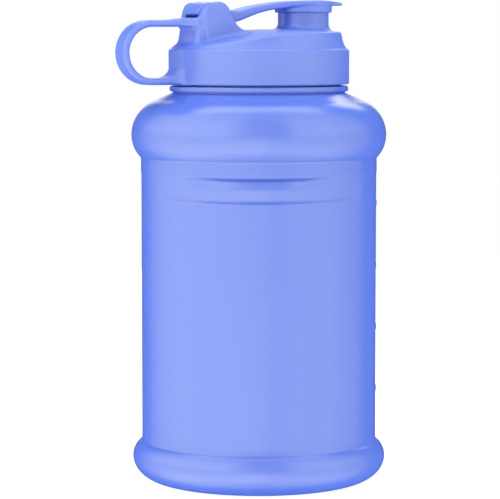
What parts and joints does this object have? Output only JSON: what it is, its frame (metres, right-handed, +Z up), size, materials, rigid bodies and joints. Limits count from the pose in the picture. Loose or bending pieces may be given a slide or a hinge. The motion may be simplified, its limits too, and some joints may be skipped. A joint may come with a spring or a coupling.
{
  "type": "large water jug",
  "caption": "Large cylindrical water jug with a bulging shoulder and foot, a screw lid with a carry loop, and a hinged flip cap over a drinking spout.",
  "frame": {"origin": "centre of the jug's base, on the jug's axis, in the plane that it stands on", "axes": "+Z up along the jug's axis; +X towards the spout, with the carry loop towards -X; the flip cap's hinge runs along Y"},
  "size_m": [0.1417, 0.13, 0.2462],
  "materials": {
    "jug_plastic": "satin blow-moulded plastic, slightly translucent",
    "lid_plastic": "fine matte moulded plastic",
    "cap_plastic": "fine matte moulded plastic",
    "silicone": "soft translucent white silicone",
    "pin_steel": "drawn stainless steel"
  },
  "bodies": {
    "jug": {"jug_body": "jug_plastic"},
    "gasket": {"lid_gasket": "silicone"},
    "lid": {"screw_lid": "lid_plastic", "hinge_pin": "pin_steel"},
    "cap": {"flip_cap": "cap_plastic", "spout_seal": "silicone"}
  },
  "joints": [
    {"name": "lid_lift", "type": "slide", "parent": "jug", "child": "gasket", "axis": [0, 0, 1], "range_m": [0, 0.0241]},
    {"name": "lid_turn", "type": "hinge", "parent": "gasket", "child": "lid", "pos_m": [0, 0, 0.2115], "axis": [0, 0, 1], "range_deg": [0, 1440]},
    {"name": "cap_flip", "type": "hinge", "parent": "lid", "child": "cap", "pos_m": [-0.0284, 0, 0.239], "axis": [0, -1, 0], "range_deg": [0, 150]}
  ],
  "couplings": [
    {"joint": "lid_lift", "follows": "lid_turn", "m_per_rad": 0.00095493}
  ]
}
